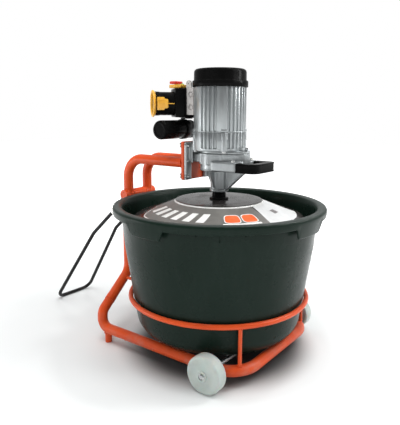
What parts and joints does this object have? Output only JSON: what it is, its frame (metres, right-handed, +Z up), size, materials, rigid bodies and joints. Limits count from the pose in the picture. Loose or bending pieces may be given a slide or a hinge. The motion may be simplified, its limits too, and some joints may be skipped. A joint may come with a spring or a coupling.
{
  "type": "tub mixer",
  "caption": "Wheeled mortar mixer: plastic tub in a tube cradle under a tilting geared-motor head that drives a mixing paddle through a splash lid",
  "frame": {"origin": "On the floor, at the centre of the bounding box seen from above", "axes": "+Z is up; +X points from the head hinge and rear handle to the front of the machine and is its longest side; +Y is the short side, with the wheels at both ends of it"},
  "size_m": [0.9789, 0.602, 0.797],
  "materials": {
    "orange_paint": "satin orange powder coat",
    "tub_plastic": "moulded polyethylene, dark green-black",
    "black_paint": "black powder coat",
    "black_plastic": "black moulded plastic",
    "cast_aluminium": "cast and extruded aluminium",
    "zinc": "zinc-plated steel",
    "steel": "plain machined steel",
    "nylon": "natural white nylon",
    "yellow_plastic": "yellow moulded plastic",
    "red_plastic": "red moulded plastic",
    "green_plastic": "green moulded plastic",
    "grey_plastic": "light grey moulded plastic",
    "lid_plastic": "black and grey printed plastic",
    "copper": "copper windings on laminated iron, varnished"
  },
  "bodies": {
    "chassis": {"base_frame": "orange_paint", "cradle_ring": "orange_paint", "upright_left": "orange_paint", "upright_right": "orange_paint", "hinge_crossbar": "orange_paint", "hinge_pin": "zinc", "rear_bracket": "zinc", "wheel_axle": "zinc", "axle_cap_left": "zinc", "axle_cap_right": "zinc", "handle_pivot_left": "zinc", "handle_pivot_right": "zinc"},
    "wheel_left_body": {"wheel_left": "nylon"},
    "wheel_right_body": {"wheel_right": "nylon"},
    "tub_body": {"tub": "tub_plastic"},
    "rear_handle_body": {"rear_handle": "black_paint"},
    "head": {"arm_left": "orange_paint", "arm_right": "orange_paint", "arm_plate": "orange_paint", "flange_bolt_1": "zinc", "flange_bolt_2": "zinc", "flange_bolt_3": "zinc", "flange_bolt_4": "zinc", "gearbox_housing": "cast_aluminium", "gearbox_cover": "cast_aluminium", "oil_plug": "zinc", "output_bearing": "steel", "lower_motor_bearing": "steel", "upper_motor_bearing": "steel", "motor_shield": "cast_aluminium", "stator_housing": "cast_aluminium", "shield_bolt_1": "zinc", "shield_bolt_2": "zinc", "shield_bolt_3": "zinc", "shield_bolt_4": "zinc", "stator_core": "copper", "upper_shield": "cast_aluminium", "fan_cowl": "black_plastic", "terminal_box": "grey_plastic", "switch_box": "black_plastic", "capacitor": "black_plastic", "capacitor_strap": "black_paint", "inlet_body": "black_plastic", "inlet_ring": "yellow_plastic", "switch_frame": "yellow_plastic", "front_handle": "black_plastic", "handle_screw_left": "zinc", "handle_screw_right": "zinc", "lid": "lid_plastic", "lid_bush": "black_plastic"},
    "mixer": {"output_shaft": "steel", "mixing_paddle": "steel", "coupling_pin": "zinc"},
    "layshaft_body": {"layshaft": "steel"},
    "rotor_body": {"rotor": "steel", "cooling_fan": "black_plastic"},
    "start_button_body": {"start_button": "green_plastic"},
    "stop_button_body": {"stop_button": "red_plastic"},
    "stop_flap_body": {"stop_flap": "red_plastic"},
    "inlet_latch_body": {"inlet_latch": "yellow_plastic"}
  },
  "joints": [
    {"name": "head_tilt", "type": "hinge", "parent": "chassis", "child": "head", "pos_m": [-0.1295, 0, 0.427], "axis": [0, -1, 0], "range_deg": [0, 75]},
    {"name": "paddle_spin", "type": "hinge", "parent": "head", "child": "mixer", "pos_m": [0.1885, 0, 0.5], "axis": [0, 0, 1], "continuous": true},
    {"name": "layshaft_spin", "type": "hinge", "parent": "head", "child": "layshaft_body", "pos_m": [0.2305, 0, 0.55], "axis": [0, 0, 1], "continuous": true},
    {"name": "rotor_spin", "type": "hinge", "parent": "head", "child": "rotor_body", "pos_m": [0.1885, 0, 0.65], "axis": [0, 0, 1], "continuous": true},
    {"name": "wheel_left_spin", "type": "hinge", "parent": "chassis", "child": "wheel_left_body", "pos_m": [0.3245, -0.2435, 0.05], "axis": [0, 1, 0], "continuous": true},
    {"name": "wheel_right_spin", "type": "hinge", "parent": "chassis", "child": "wheel_right_body", "pos_m": [0.3245, 0.2435, 0.05], "axis": [0, 1, 0], "continuous": true},
    {"name": "rear_handle_swing", "type": "hinge", "parent": "chassis", "child": "rear_handle_body", "pos_m": [-0.1695, 0, 0.385], "axis": [0, 1, 0], "range_deg": [0, 50]},
    {"name": "tub_lift", "type": "slide", "parent": "chassis", "child": "tub_body", "axis": [0, 0, 1], "range_m": [0, 0.012]},
    {"name": "start_press", "type": "slide", "parent": "head", "child": "start_button_body", "axis": [0, 0, -1], "range_m": [0, 0.0025]},
    {"name": "stop_press", "type": "slide", "parent": "head", "child": "stop_button_body", "axis": [0, 0, -1], "range_m": [0, 0.0025]},
    {"name": "stop_flap_open", "type": "hinge", "parent": "head", "child": "stop_flap_body", "pos_m": [0.067, -0.029, 0.7618], "axis": [0, 1, 0], "range_deg": [0, 60]},
    {"name": "latch_open", "type": "hinge", "parent": "head", "child": "inlet_latch_body", "pos_m": [0.07358, -0.08751, 0.705], "axis": [0, 0, 1], "range_deg": [0, 35]}
  ],
  "couplings": [
    {"joint": "layshaft_spin", "follows": "paddle_spin", "ratio": -3.2},
    {"joint": "rotor_spin", "follows": "paddle_spin", "ratio": 10.24}
  ]
}
